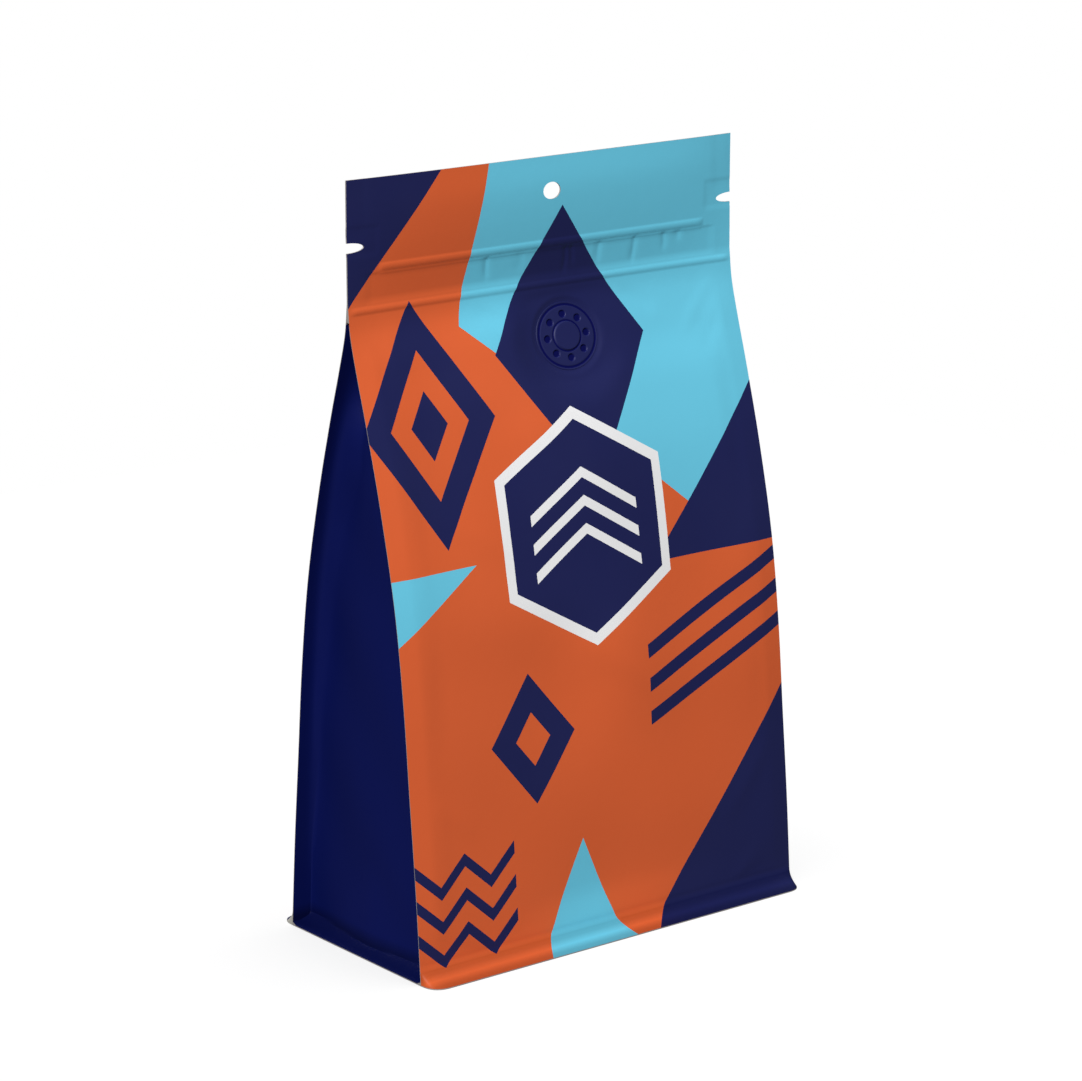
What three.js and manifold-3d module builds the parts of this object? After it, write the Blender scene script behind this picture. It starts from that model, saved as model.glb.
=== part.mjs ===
// A shut, filled, flat-bottom pouch of laminated film. Millimetres, +Z up, the front faces -Y, and the
// origin is the middle of the base. Front and back are sealed flat together in the header, the corners
// are fins, the sides are gussets set in behind the fins, and the base seal flares out all round.
// The one-way valve is a second piece, let into the front.
import * as THREE from 'three';
import { mergeVertices } from 'three/addons/utils/BufferGeometryUtils.js';
import Module from 'manifold-3d';

// ---- driving dimensions ----
const HEIGHT = 250; // base to the top edge
const WIDTH = 154.8; // film edge to film edge, the same from base to top
const SEAL = 7; // width of the seals at the corners and round the base
const HEADER_FOOT = 212; // above this height the pouch is flat
const HEADER_THICKNESS = 0.9; // the films sealed together above the filling

// half depth of the corner fins at a few heights, base first, with smooth curves between them
const SIDE_PROFILE = [
  [0, 35.2], [30, 33.0], [60, 30.2], [90, 27.4], [120, 23.2], [150, 16.4],
  [175, 9.4], [190, 4.8], [202, 1.5], [HEADER_FOOT, HEADER_THICKNESS / 2],
];
const PANEL = { proud: 0.9, settles: 20 }; // how far a panel stands proud of its seals, and over what height
const DIP = { depth: 3, height: 160, spread: 32 }; // the hollow across each panel's middle
const LIP = { rise: 6, edge: 0.6 }; // the base seal's flare, and its upright edge
const FIN = { thickness: 0.7, root: 5 }; // the corner fins, and how far in the gusset leaves them
const GUSSET = { inset: 7.5, shoulder: 6.3, bulge: 0.8, foldDepth: 20, floorRise: 2.6 };
const FOLD = { starts: 165, creasesMeet: 181, closes: 205 }; // heights of the gusset's fold

const ZIP = { heights: [209, 222], relief: 0.5, halfWidth: 1.6, end: 65 }; // ribs of the reclosable strip
const HANG_HOLE = { x: 1.6, z: 239, radius: 3.2 };
const NOTCH = { z: 229, depth: 6.2, halfHeight: 1.6 }; // the tear notches, one in each side edge
const VALVE = { x: 6, z: 192.1, radius: 11.5, sunk: 0.5, thickness: 0.6 }; // its face lies below the panel
const VALVE_EYE = { radius: 4.8, height: 0.3, bevel: 0.2 }; // the raised middle of the valve's face
const VENT = { count: 8, radius: 1.3, ringRadius: 7.4, depth: 0.35 };
const SEAT_GAP = 0.3; // all round the valve
const CUT_LENGTH = 10; // long enough to pass through the header

// ---- curves ----
const clamp = (t) => Math.min(1, Math.max(0, t));
const ease = (t) => clamp(t) ** 2 * (3 - 2 * clamp(t)); // 0 to 1, level at both ends

// The smooth curve through [place, value] points. Each slope is that of the chord between the neighbours.
function through(points, at) {
  const last = points.length - 1;
  if (at >= points[last][0]) return points[last][1];
  const slope = (i) => {
    const from = points[Math.max(0, i - 1)];
    const to = points[Math.min(last, i + 1)];
    return (to[1] - from[1]) / (to[0] - from[0]);
  };
  const i = points.findIndex((point) => point[0] > at) - 1;
  const span = points[i + 1][0] - points[i][0];
  const t = (at - points[i][0]) / span;
  const rise = (points[i + 1][1] - points[i][1]) * ease(t);
  return points[i][1] + rise + span * (slope(i) * t * (1 - t) ** 2 - slope(i + 1) * t ** 2 * (1 - t));
}

// ---- the pouch's form ----
const finDepth = (z) => through(SIDE_PROFILE, z);

// How far the base seal reaches out of a panel: SEAL at its upright edge, nothing at the top of its flare.
// Towards the ends of the lip it draws in along a quarter circle, which rounds the base's corners.
function lipReach(x, z) {
  const up = clamp((z - LIP.edge) / (LIP.rise - LIP.edge));
  const pastCorner = clamp((Math.abs(x) - (WIDTH / 2 - SEAL)) / SEAL);
  return SEAL * (1 - up) ** 1.8 * Math.sqrt(1 - pastCorner ** 2);
}

function zipRelief(x, z) {
  const along = ease((ZIP.end + 2 - Math.abs(x)) / 2);
  const across = ZIP.heights.map((rib) => Math.max(0, 1 - ((z - rib) / ZIP.halfWidth) ** 2));
  return ZIP.relief * along * Math.max(...across);
}

// Half depth of the front and back panels. Between its seals a panel stands proud, with a dip in its middle.
function panelDepth(x, z) {
  const filled = ease((HEADER_FOOT - z) / PANEL.settles) * ease(z / PANEL.settles);
  const proud = PANEL.proud * clamp((WIDTH / 2 - Math.abs(x)) / SEAL);
  const dip = DIP.depth * Math.exp(-(((z - DIP.height) / DIP.spread) ** 2)) * (1 - (2 * x / WIDTH) ** 2);
  const film = Math.max(HEADER_THICKNESS / 2, finDepth(z) + (proud - dip) * filled);
  return film + lipReach(x, z) + zipRelief(x, z);
}

// One half of the gusset's outline at a height, as [inset from the film edge, depth] points: along the fin,
// over the shoulder to the crease, and across the bulging middle. The creases run from the base's corners
// to the centre, where they meet, and above that the gusset folds deeper into the pouch.
function gussetOutline(z) {
  const fin = Math.max(0.12, finDepth(z) - FIN.thickness);
  const shoulder = GUSSET.shoulder * ease(z / 150);
  const crease = Math.max(0.3 * fin, (fin - shoulder) * ease((FOLD.creasesMeet - z) / 45));
  const folding = ease((z - FOLD.starts) / (FOLD.closes - FOLD.starts));
  const inset = GUSSET.inset + (GUSSET.foldDepth - GUSSET.inset) * folding;
  const middle = inset - GUSSET.bulge * clamp(crease / 20);
  return [[-2, fin], [FIN.root, fin], [inset, crease], [middle, 0.3 * crease]];
}

// ---- closed bodies ----
// Joins rows of front points, each with its mirror image at the back, into a closed body. A row runs towards +X.
function mirroredLoft(rows) {
  const rings = rows.map((row) => [...row, ...[...row].reverse().map(([x, y, z]) => [x, -y, z])]);
  const count = rings[0].length;
  const top = (rings.length - 1) * count;
  const faces = [];
  const quad = (a, b, c, d) => faces.push(a, b, c, a, c, d);
  for (let low = 0; low < top; low += count) {
    for (let i = 0; i < count; i += 1) {
      const next = (i + 1) % count;
      quad(low + i, low + next, low + count + next, low + count + i);
    }
  }
  for (let i = 0; i < count / 2 - 1; i += 1) {
    const across = count - 1 - i;
    quad(i, across, across - 1, i + 1);
    quad(top + i, top + i + 1, top + across - 1, top + across);
  }
  const geometry = new THREE.BufferGeometry();
  geometry.setAttribute('position', new THREE.Float32BufferAttribute(rings.flat(2), 3));
  geometry.setIndex(faces);
  return geometry;
}

const wasm = await Module();
wasm.setup();

function toSolid(geometry) {
  const bare = geometry.clone();
  bare.deleteAttribute('normal');
  bare.deleteAttribute('uv');
  const merged = mergeVertices(bare, 1e-4);
  return new wasm.Manifold(new wasm.Mesh({
    numProp: 3,
    vertProperties: new Float32Array(merged.attributes.position.array),
    triVerts: new Uint32Array(merged.index.array),
  }));
}

function toGeometry(solid) {
  const { vertProperties, triVerts } = solid.getMesh();
  const geometry = new THREE.BufferGeometry();
  geometry.setAttribute('position', new THREE.Float32BufferAttribute(vertProperties, 3));
  geometry.setIndex(Array.from(triVerts));
  geometry.computeVertexNormals();
  return geometry;
}

// ---- the pouch ----
// Places across the width: evenly over the panel, closer at the ribs' ends and round the base's corners.
function columns() {
  const corner = [0, 22.5, 45, 67.5, 90].map((turn) => SEAL * Math.sin(THREE.MathUtils.degToRad(turn)));
  const half = [0, 12, 24, 36, 48, 58, ZIP.end, ZIP.end + 2, ...corner.map((x) => WIDTH / 2 - SEAL + x)];
  return [...half.slice(1).reverse().map((x) => -x), ...half];
}

// Heights of the sections: close together over the base seal's flare and over each rib.
function levels() {
  const lip = [0, 0.1, 0.2, 0.35, 0.55, 0.8, 1].map((t) => LIP.edge + (LIP.rise - LIP.edge) * t);
  const body = Array.from({ length: 20 }, (_, i) => 10 * (i + 1));
  const ribs = ZIP.heights.flatMap((rib) => [-1, -0.5, 0, 0.5, 1].map((t) => rib + t * ZIP.halfWidth));
  return [0, ...lip, ...body, 203.5, ...ribs, HEADER_FOOT, 236, HEIGHT].sort((a, b) => a - b);
}

function filledBody() {
  return toSolid(mirroredLoft(levels().map((z) => columns().map((x) => [x, -panelDepth(x, z), z]))));
}

// The space outside a gusset, between the corner fins. Its floor is the base seal, rising towards the gusset.
function gussetSpace(side) {
  const heights = [0, ...Array.from({ length: 20 }, (_, i) => 8 + 10 * i), FOLD.closes];
  const rows = heights.map((z) => {
    const row = gussetOutline(z).map(([inset, depth]) => {
      const floor = LIP.edge + GUSSET.floorRise * clamp(inset / GUSSET.inset) ** 1.5;
      return [side * (WIDTH / 2 - inset), -depth, Math.max(z, floor)];
    });
    return side < 0 ? row : row.reverse();
  });
  return toSolid(mirroredLoft(rows));
}

function cutThrough(x, z, radiusX, radiusZ) {
  const cutter = new THREE.CylinderGeometry(1, 1, CUT_LENGTH, 32);
  cutter.scale(radiusX, 1, radiusZ);
  cutter.translate(x, 0, z);
  return toSolid(cutter);
}

// Moves a shape from the origin, where it faces +Z, to the valve's place, where it faces out of the front
// panel. The valve's plane passes through the panel just below and just above it.
function seatOnPanel(geometry) {
  const low = panelDepth(VALVE.x, VALVE.z - VALVE.radius);
  const high = panelDepth(VALVE.x, VALVE.z + VALVE.radius);
  geometry.rotateX(Math.PI / 2 - Math.atan2(low - high, 2 * VALVE.radius));
  geometry.translate(VALVE.x, -(low + high) / 2, VALVE.z);
  return toSolid(geometry);
}

// An upright cylinder with its middle on +Z, from one height to another.
function drum(radius, bottom, top, sides) {
  const geometry = new THREE.CylinderGeometry(radius, radius, top - bottom, sides);
  geometry.rotateX(Math.PI / 2);
  geometry.translate(0, 0, (top + bottom) / 2);
  return geometry;
}

function pouchSolid() {
  const cuts = [
    gussetSpace(-1),
    gussetSpace(1),
    cutThrough(HANG_HOLE.x, HANG_HOLE.z, HANG_HOLE.radius, HANG_HOLE.radius),
    cutThrough(-WIDTH / 2, NOTCH.z, NOTCH.depth, NOTCH.halfHeight),
    cutThrough(WIDTH / 2, NOTCH.z, NOTCH.depth, NOTCH.halfHeight),
    seatOnPanel(drum(VALVE.radius + SEAT_GAP, -VALVE.sunk - VALVE.thickness - SEAT_GAP, CUT_LENGTH, 48)),
  ];
  return cuts.reduce((body, cut) => body.subtract(cut), filledBody());
}

// ---- the valve ----
// A thin round disc with a raised eye in its face and a ring of vents round the eye.
function valveSolid() {
  const face = -VALVE.sunk;
  const back = face - VALVE.thickness;
  const eye = face + VALVE_EYE.height;
  const profile = [
    [0, back], [VALVE.radius, back], [VALVE.radius, face],
    [VALVE_EYE.radius, face], [VALVE_EYE.radius - VALVE_EYE.bevel, eye], [0, eye],
  ];
  const disc = new THREE.LatheGeometry(profile.map(([r, z]) => new THREE.Vector2(r, z)), 48);
  disc.rotateX(Math.PI / 2);
  const vents = Array.from({ length: VENT.count }, (_, i) => {
    const turn = (i + 0.5) * 2 * Math.PI / VENT.count;
    const vent = drum(VENT.radius, face - VENT.depth, face + 1, 14);
    vent.translate(VENT.ringRadius * Math.cos(turn), VENT.ringRadius * Math.sin(turn), 0);
    return seatOnPanel(vent);
  });
  return vents.reduce((body, vent) => body.subtract(vent), seatOnPanel(disc));
}

// ---- the object ----
function piece(name, solid, colour, roughness) {
  const material = new THREE.MeshStandardMaterial({ color: colour, roughness, metalness: 0 });
  const mesh = new THREE.Mesh(toGeometry(solid), material);
  mesh.name = name;
  return mesh;
}

const flatBottomPouch = new THREE.Group();
flatBottomPouch.add(piece('pouch', pouchSolid(), '#c65831', 0.45));
flatBottomPouch.add(piece('valve', valveSolid(), '#1f214a', 0.4));

export default flatBottomPouch;
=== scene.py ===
# %% [markdown]
# # A flat-bottom pouch
# A shut, filled pouch of printed film, standing on its base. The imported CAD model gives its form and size,
# and this script gives it its looks: thin fins at the corners, soft dents from the filling, a flared base
# seal, the reclosable strip's ribs, a one-way valve, and a matt printed film. The frame comes first,
# because every size below starts from it.

import bpy
import numpy as np
from mathutils import Matrix, Vector


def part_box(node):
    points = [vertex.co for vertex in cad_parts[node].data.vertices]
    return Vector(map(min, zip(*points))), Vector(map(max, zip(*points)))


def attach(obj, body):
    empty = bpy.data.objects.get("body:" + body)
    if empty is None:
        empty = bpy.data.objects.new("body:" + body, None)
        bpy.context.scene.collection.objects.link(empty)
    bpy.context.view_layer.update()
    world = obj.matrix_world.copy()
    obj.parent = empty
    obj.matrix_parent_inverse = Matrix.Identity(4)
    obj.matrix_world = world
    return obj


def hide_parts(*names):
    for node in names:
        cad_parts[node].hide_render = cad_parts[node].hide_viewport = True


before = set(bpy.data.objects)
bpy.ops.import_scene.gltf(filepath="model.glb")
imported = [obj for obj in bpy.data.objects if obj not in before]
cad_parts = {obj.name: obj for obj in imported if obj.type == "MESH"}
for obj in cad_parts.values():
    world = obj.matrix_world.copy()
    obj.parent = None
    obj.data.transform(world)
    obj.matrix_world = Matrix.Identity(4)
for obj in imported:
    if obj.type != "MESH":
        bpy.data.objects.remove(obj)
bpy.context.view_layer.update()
MM = 0.001

low_corner, high_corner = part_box("pouch")
WIDTH = (high_corner.x - low_corner.x) / MM
HEIGHT = high_corner.z / MM
print(f"pouch {WIDTH:.1f} mm wide, {HEIGHT:.1f} mm high")

# %% [markdown]
# ## The camera
# A camera can be turned with Euler angles, but a matrix built from its own three directions shows better
# what happens: the columns are its right, its up and its back. The lens is long, as in a product photo.

# %% Set up the camera
TURN, TILT = np.radians(-38.372), np.radians(14.629)
DISTANCE, LENS = 1.2531, 128.82  # metres and millimetres
AIM_Z, AIM_LEFT, AIM_DOWN = 0.125, 0.0013, 0.000425  # metres: what it looks at, near the pouch's middle


def direction(turn, tilt):
    """The unit vector from the middle towards a place, turned from the front and tilted up from the floor."""
    return Vector((np.sin(turn) * np.cos(tilt), -np.cos(turn) * np.cos(tilt), np.sin(tilt)))


def put(name, data):
    """An object at the origin, linked to the scene."""
    item = bpy.data.objects.new(name, data)
    bpy.context.scene.collection.objects.link(item)
    return item


back = direction(TURN, TILT)
right = Vector((np.cos(TURN), np.sin(TURN), 0))
up = back.cross(right)
target = Vector((0, 0, AIM_Z)) - AIM_LEFT * right - AIM_DOWN * up

camera_data = bpy.data.cameras.new("camera")
camera_data.lens = LENS
camera = put("camera", camera_data)
axes = Matrix((right, up, back)).transposed().to_4x4()
camera.matrix_world = Matrix.Translation(target + DISTANCE * back) @ axes
bpy.context.scene.camera = camera
print("camera at", [round(value, 3) for value in camera.matrix_world.translation])

# %% [markdown]
# ## The form of the pouch
# The filling holds the pouch open at the base, and it thins to nothing under the flat header. The half
# depth of its sides is a smooth curve through a few measured heights. The same few curves give the gussets,
# which are set in behind the corner fins, so that film meets film with no gap.

# %% Sizes, in millimetres
SEAL = 7  # the seals' width, and how far the lip reaches out
HEADER_FOOT = 212  # the films lie flat on each other from here up
HALF_HEADER = 0.25
FILM = 0.22  # how thick a fin is at its edge
# height, half depth of the sides
SIDE_PROFILE = [
    (0, 35.2), (30, 33.0), (60, 30.2), (90, 27.4), (120, 23.2), (150, 16.4),
    (175, 9.4), (190, 4.8), (202, 1.5), (HEADER_FOOT, HALF_HEADER),
]
PANEL_PROUD = 0.62  # how far a panel stands proud of its seals
LIP_LOW, LIP_EDGE, LIP_TOP = 0.06, 0.4, 6.0  # heights of the lip's cut edge, below and above, and of its top
LIP_CURVE, LIP_CORNER = 1.8, 2.6  # powers: how fast the flare draws in, and how square its corners are
VALVE_X, VALVE_Z, VALVE_RADIUS, VALVE_SUNK = 6, 192.1, 11.5, 0.3
VALVE_WIDER, VALVE_LOWER = 1.07, 0.95  # drawn a little wider than high, as it looks in the photo
HOLE_X, HOLE_Z, HOLE_WIDE, HOLE_HIGH = 1.6, 239, 3.5, 2.75
NOTCH_Z, NOTCH_DEPTH, NOTCH_HALF = 229, 6.2, 1.6


# %% Curves
def ease(t):
    """0 to 1, level at both ends: t squared times (3 - 2 t), with t held between 0 and 1."""
    t = np.clip(t, 0, 1)
    return t * t * (3 - 2 * t)


def bell(t):
    """A smooth bump: e to the power of minus t squared."""
    return np.exp(-t * t)


def through(points, at):
    """The smooth curve through [place, value] points: a cubic between neighbours, whose slope at each point
    is that of the chord between the points on either side."""
    place, value = np.array(points, float).T
    count = np.arange(len(place))
    before, after = np.maximum(count - 1, 0), np.minimum(count + 1, len(place) - 1)
    slope = (value[after] - value[before]) / (place[after] - place[before])
    i = np.clip(np.searchsorted(place, at, side="right") - 1, 0, len(place) - 2)
    span = place[i + 1] - place[i]
    t = np.clip((at - place[i]) / span, 0, 1)
    rise = (value[i + 1] - value[i]) * ease(t)
    return value[i] + rise + span * (slope[i] * t * (1 - t) ** 2 - slope[i + 1] * t**2 * (1 - t))


def lip_reach(x, z):
    """How far the base seal reaches out of a panel: SEAL at its edge, less with height as (1 - t) to the
    power LIP_CURVE, and drawn in towards the corners along a rounded square of power LIP_CORNER."""
    upward = np.clip((z - LIP_EDGE) / (LIP_TOP - LIP_EDGE), 0, 1)
    past_corner = np.clip((np.abs(x) - (WIDTH / 2 - SEAL)) / SEAL, 0, 1)
    return SEAL * (1 - upward) ** LIP_CURVE * (1 - past_corner**LIP_CORNER) ** (1 / LIP_CORNER)


print("half depth at 100 mm:", round(float(through(SIDE_PROFILE, 100)), 2))

# %% [markdown]
# ## What the film does
# A filled pouch is never smooth. Between its sealed edges the panel stands proud in a crisp step, grains
# push it out and a hand has pressed it in here and there, and the header has two ribs, a band of crimps and
# heat-sealed strips. Each of these is a small height added to the panel, so they can be sums of bumps.

# %% Dents and folds
SWELL_DEPTH = 1.6  # how much of its listed height each swell has
# x, z, reach along x, reach along z, height (a dent is negative)
FRONT_SWELLS = [
    (-18, 202, 13, 22, 0.3), (-60, 196, 13, 14, 0.25), (48, 190, 30, 9, -0.35), (-18, 184, 30, 22, 0.7),
    (6, 178, 30, 22, 0.5), (-12, 166, 13, 9, 0.5), (12, 160, 30, 22, 0.7), (36, 154, 30, 22, 0.6),
    (-6, 154, 20, 14, 0.4), (-54, 148, 13, 22, -0.5), (6, 142, 20, 22, 0.5), (-24, 124, 30, 14, -0.5),
    (42, 112, 20, 22, -0.5), (66, 112, 13, 9, 0.25), (-30, 94, 30, 22, -0.7), (0, 94, 13, 9, 0.25),
    (12, 88, 13, 22, 0.5), (-12, 82, 20, 22, -0.5), (24, 70, 13, 22, 0.25), (-30, 34, 30, 22, -0.35),
    (-6, 16, 30, 22, -0.6), (18, 16, 30, 14, -0.35),
]
BACK_SWELLS = [
    (30, 140, 24, 18, -1.0), (-24, 150, 26, 22, 0.6), (0, 92, 36, 16, -0.5), (-44, 60, 22, 24, 0.5),
    (40, 50, 20, 20, -0.4), (10, 178, 34, 9, -0.5), (52, 104, 16, 22, 0.5), (-8, 24, 40, 12, 0.3),
]
# x and z of both ends, height, half width: a fold is negative in a hollow
FRONT_FOLDS = [
    (-58, 148, -22, 122, 0.22, 3.5), (-20, 106, 34, 72, 0.2, 4.0), (70, 205, 52, 186, 0.12, 2.2),
    (73, 196, 60, 180, -0.12, 2.4), (-72, 204, -56, 188, 0.12, 2.2), (-30, 204, -14, 197, -0.2, 2.6),
    (30, 204, 44, 196, -0.2, 2.6), (-74, 60, -52, 44, 0.15, 2.4), (74, 56, 48, 26, 0.25, 3.0),
    (-66, 16, -50, 7, 0.2, 2.2), (66, 15, 52, 7, 0.2, 2.2),
]
BACK_FOLDS = [
    (-60, 96, 44, 150, 0.45, 5.0), (66, 204, 50, 188, 0.3, 2.2), (-70, 202, -54, 186, -0.3, 2.4),
    (70, 60, 52, 44, 0.25, 2.4), (-70, 50, -52, 38, 0.25, 2.4),
]


def swells(x, z, places):
    """The sum of soft round bumps: each is its height times the bell of the distance over its reach."""
    return SWELL_DEPTH * sum(
        height * np.exp(-(((x - px) / reach_x) ** 2) - ((z - pz) / reach_z) ** 2)
        for px, pz, reach_x, reach_z, height in places
    )


def folds(x, z, lines):
    """The sum of ridges: each is its height times the bell of the distance from its line, and fades out
    towards both ends of the line as 4 t (1 - t)."""
    total = 0
    for x0, z0, x1, z1, height, half_width in lines:
        length = np.hypot(x1 - x0, z1 - z0)
        along = ((x - x0) * (x1 - x0) + (z - z0) * (z1 - z0)) / length**2
        across = ((x - x0) * (z1 - z0) - (z - z0) * (x1 - x0)) / length
        fade = np.clip(4 * along * (1 - along), 0, 1)
        total = total + height * fade * bell(across / half_width)
    return total


def waviness(x, z, phase):
    """The film's slight unevenness: three crossed sine waves, 44 to 72 mm long and up to 0.1 mm high. The
    phase shifts them, so that front and back differ."""
    return (
        0.1 * np.sin(x / 13.7 + z / 21.3 + phase)
        + 0.07 * np.sin(x / 9.1 - z / 12.7 + 2.1 * phase)
        + 0.05 * np.sin(x / 23.9 + z / 7.3 + 1.3 * phase)
    )


print(len(FRONT_SWELLS), "swells and", len(FRONT_FOLDS), "folds in the front")

# %% The header's strip, seals and bow
LOWER_RIB, UPPER_RIB = 209, 222
RIB_RELIEF, LOWER_HALF, UPPER_HALF = 0.24, 1.2, 1.4
FINE_RELIEF, FINE_BELOW, FINE_HALF = 0.07, 1.9, 0.6  # the finer ridge under the upper rib
RIB_END = 65.6  # where the upper rib ends and the side seal begins, from the middle
STRIP_LOW, STRIP_HIGH, STRIP_END = LOWER_RIB + 1.6, UPPER_RIB - 1.2, 70
CRIMPS = [-23.5, -10, 8, 11, 22, 36.5, 49, 55.5]  # the last one is short
SHORT_CRIMP = len(CRIMPS) - 1
STRIP_DEPTH, CRIMP_DEPTH, CRIMP_HALF = 0.14, 0.24, 0.85
# the two steps of the side seals: depth, heights, and where the outer one starts
SIDE_STEP, SIDE_LOW, SIDE_HIGH = 0.12, 225.5, 236
OUTER_STEP, OUTER_LOW, OUTER_START = 0.1, 231, 69.6


def rounded(t):
    """A parabola: 1 in the middle, nothing from 1 away."""
    return np.clip(1 - t * t, 0, 1)


def header_relief(x, z):
    """How far the ribs stand out on each side. The upper one is a soft ridge with a finer one under it, and
    ends short of the sides. The lower one is a single soft ridge."""
    side = np.abs(x)
    fine_rib = FINE_RELIEF * rounded((z - UPPER_RIB + FINE_BELOW) / FINE_HALF)
    upper = RIB_RELIEF * rounded((z - UPPER_RIB) / UPPER_HALF) + fine_rib
    lower = RIB_RELIEF * rounded((z - LOWER_RIB) / LOWER_HALF)
    return upper * ease(RIB_END - side) + lower * ease((WIDTH / 2 - side) / 3)


def pressed(x, z):
    """How far front and back are pressed back together, so that the films never cross: the strip is let in
    with round ends, the crimps are short upright grooves in it, and the seals at the sides step in."""
    side = np.abs(x)
    under_rib = ease((STRIP_HIGH - z) / 1.2)
    in_strip = ease((STRIP_END - side) / 1.2) * ease((z - STRIP_LOW) / 1.4) * under_rib
    groove = 0
    for i, place in enumerate(CRIMPS):
        foot = STRIP_LOW + 5.5 if i == SHORT_CRIMP else STRIP_LOW + 1.8 + 1.5 * np.sin(2.3 * i)
        wander = 0.35 * np.sin(z / 2.2 + 1.7 * i)
        groove = groove + bell((x - place - wander) / CRIMP_HALF) * ease((z - foot) / 3) * under_rib
    side_seal = SIDE_STEP * ease((side - RIB_END) / 1.2)
    side_seal = side_seal * ease((z - SIDE_LOW) / 1.5) * ease((SIDE_HIGH - z) / 1.5)
    outer_seal = OUTER_STEP * ease((side - OUTER_START) / 1.2) * ease((z - OUTER_LOW) / 1.5)
    return STRIP_DEPTH * in_strip + CRIMP_DEPTH * groove + side_seal + outer_seal


# height, and how far back the middle of the header stands there: behind at its foot, in front above
BOW = [(176, 0), (192, 0.5), (204, 1.0), (212, 0.6), (224, -0.6), (233, -1.25), (241, -1.4), (250, -0.8)]


def bow(x, z):
    """How far the header leans back (positive y) as one: its curve in the middle, less towards the sides by
    the fourth power of the place, a slow wave along the width, and what is pressed into it."""
    middle = through(BOW, z) * (z > BOW[0][0]) * (1 - 1.1 * (2 * x / WIDTH) ** 4)
    wave = 0.3 * np.sin(x / 30 + 0.6) * ease((z - 196) / 40)
    return middle + wave + pressed(x, z)


print("upper rib", float(header_relief(0, UPPER_RIB)), "mm high")


# %% [markdown]
# ## Half depth of a panel
# Everything above comes together in one function of place: the curve of the sides, the step at the seals,
# the dip across the middle, the dents, and the lip and ribs on top. Round the valve the panel is drawn flat
# and let in, because the valve is sealed to the film there.


# %% The panels
KNEE = 0.004  # how round the step at the seals is
DIP_DEPTH, DIP_HEIGHT, DIP_SPREAD = 1.0, 160, 32  # the hollow across the panel
SETTLES = 20  # a panel settles into the base and into the header over this height
LIP_FADE = 5  # dents and folds begin above this height
CREASE_DEPTH, CREASE_HEIGHT, CREASE_HALF = 0.06, 7.2, 1.3  # the fine ridge above the lip
FLAT_RIM, FLAT_FADE = 1, 11  # how far past the valve the panel is flat, and over how much it blends back
RIB_CLEAR, RIB_FADE = 1.5, 3.5  # the same below the lower rib
SEAT_DEPTH, SEAT_FADE = 0.18, 2.2  # how far below the valve's face the film is let in at the rim
UNDER_DEPTH, UNDER_FADE = 0.7, 1.8  # how much deeper it lies under the disc


def panel_base(x, z):
    """Half depth before the dents: the sides' curve, plus a ramp over the seal's width to PANEL_PROUD with
    a small round knee, less the dip."""
    from_edge = (WIDTH / 2 - np.abs(x)) / SEAL
    ramp = 0.5 * (from_edge + 1 - np.sqrt((from_edge - 1) ** 2 + KNEE))
    dip = DIP_DEPTH * bell((z - DIP_HEIGHT) / DIP_SPREAD) * (1 - (2 * x / WIDTH) ** 2)
    filled = ease((HEADER_FOOT - z) / SETTLES) * ease(z / SETTLES)
    return through(SIDE_PROFILE, z) + (PANEL_PROUD * ramp - dip) * filled


def clear_of_edges(x, z, side, top, bottom):
    """1 within a panel, easing to nothing at its seals, the header and the lip over these lengths."""
    from_seal = WIDTH / 2 - np.abs(x) - SEAL
    return ease(from_seal / side) * ease((HEADER_FOOT - z) / top) * ease((z - LIP_FADE) / bottom)


def panel_depth(x, z, swell_places, fold_lines, phase):
    """Half depth of a whole panel. The dents fade out at its edges, and the folds closer to them."""
    dents = swells(x, z, swell_places) + waviness(x, z, phase)
    film = panel_base(x, z) + dents * clear_of_edges(x, z, side=9, top=16, bottom=12)
    film = film + folds(x, z, fold_lines) * clear_of_edges(x, z, side=3, top=10, bottom=4)
    crease = CREASE_DEPTH * bell((z - CREASE_HEIGHT) / CREASE_HALF)
    film = film + crease * ease((WIDTH / 2 - np.abs(x)) / 6)
    return np.maximum(film, HALF_HEADER) + lip_reach(x, z) + header_relief(x, z)


VALVE_LOW = float(panel_base(VALVE_X, VALVE_Z - VALVE_RADIUS))
VALVE_HIGH = float(panel_base(VALVE_X, VALVE_Z + VALVE_RADIUS))
VALVE_SLOPE = (VALVE_LOW - VALVE_HIGH) / (2 * VALVE_RADIUS)


def valve_plane(z):
    """Half depth of the plane that the valve is sealed on: through the panel just below and above it."""
    return (VALVE_LOW + VALVE_HIGH) / 2 - (z - VALVE_Z) * VALVE_SLOPE


def front_depth(x, z):
    """The front panel, drawn flat round the valve up to the lower rib, let in to the valve's face, and
    dipping under the disc from its rim inwards."""
    film = panel_depth(x, z, FRONT_SWELLS, FRONT_FOLDS, phase=0.4)
    rise = (z - VALVE_Z) * np.hypot(1, VALVE_SLOPE)
    away = np.hypot((x - VALVE_X) / VALVE_WIDER, rise / VALVE_LOWER)
    below_rib = ease((LOWER_RIB - RIB_CLEAR - z) / RIB_FADE)
    flat = (1 - ease((away - VALVE_RADIUS - FLAT_RIM) / FLAT_FADE)) * below_rib
    film = film + (valve_plane(z) - film) * flat
    let_in = (VALVE_SUNK + SEAT_DEPTH) * (1 - ease((away - VALVE_RADIUS) / SEAT_FADE))
    under_disc = UNDER_DEPTH * ease((VALVE_RADIUS - away) / UNDER_FADE)
    return np.maximum(film - let_in - under_disc, HALF_HEADER)


def back_depth(x, z):
    """The back panel, which has no valve."""
    return panel_depth(x, z, BACK_SWELLS, BACK_FOLDS, phase=2.9)


print(f"the valve leans back {np.degrees(np.arctan(VALVE_SLOPE)):.1f} degrees")

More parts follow.
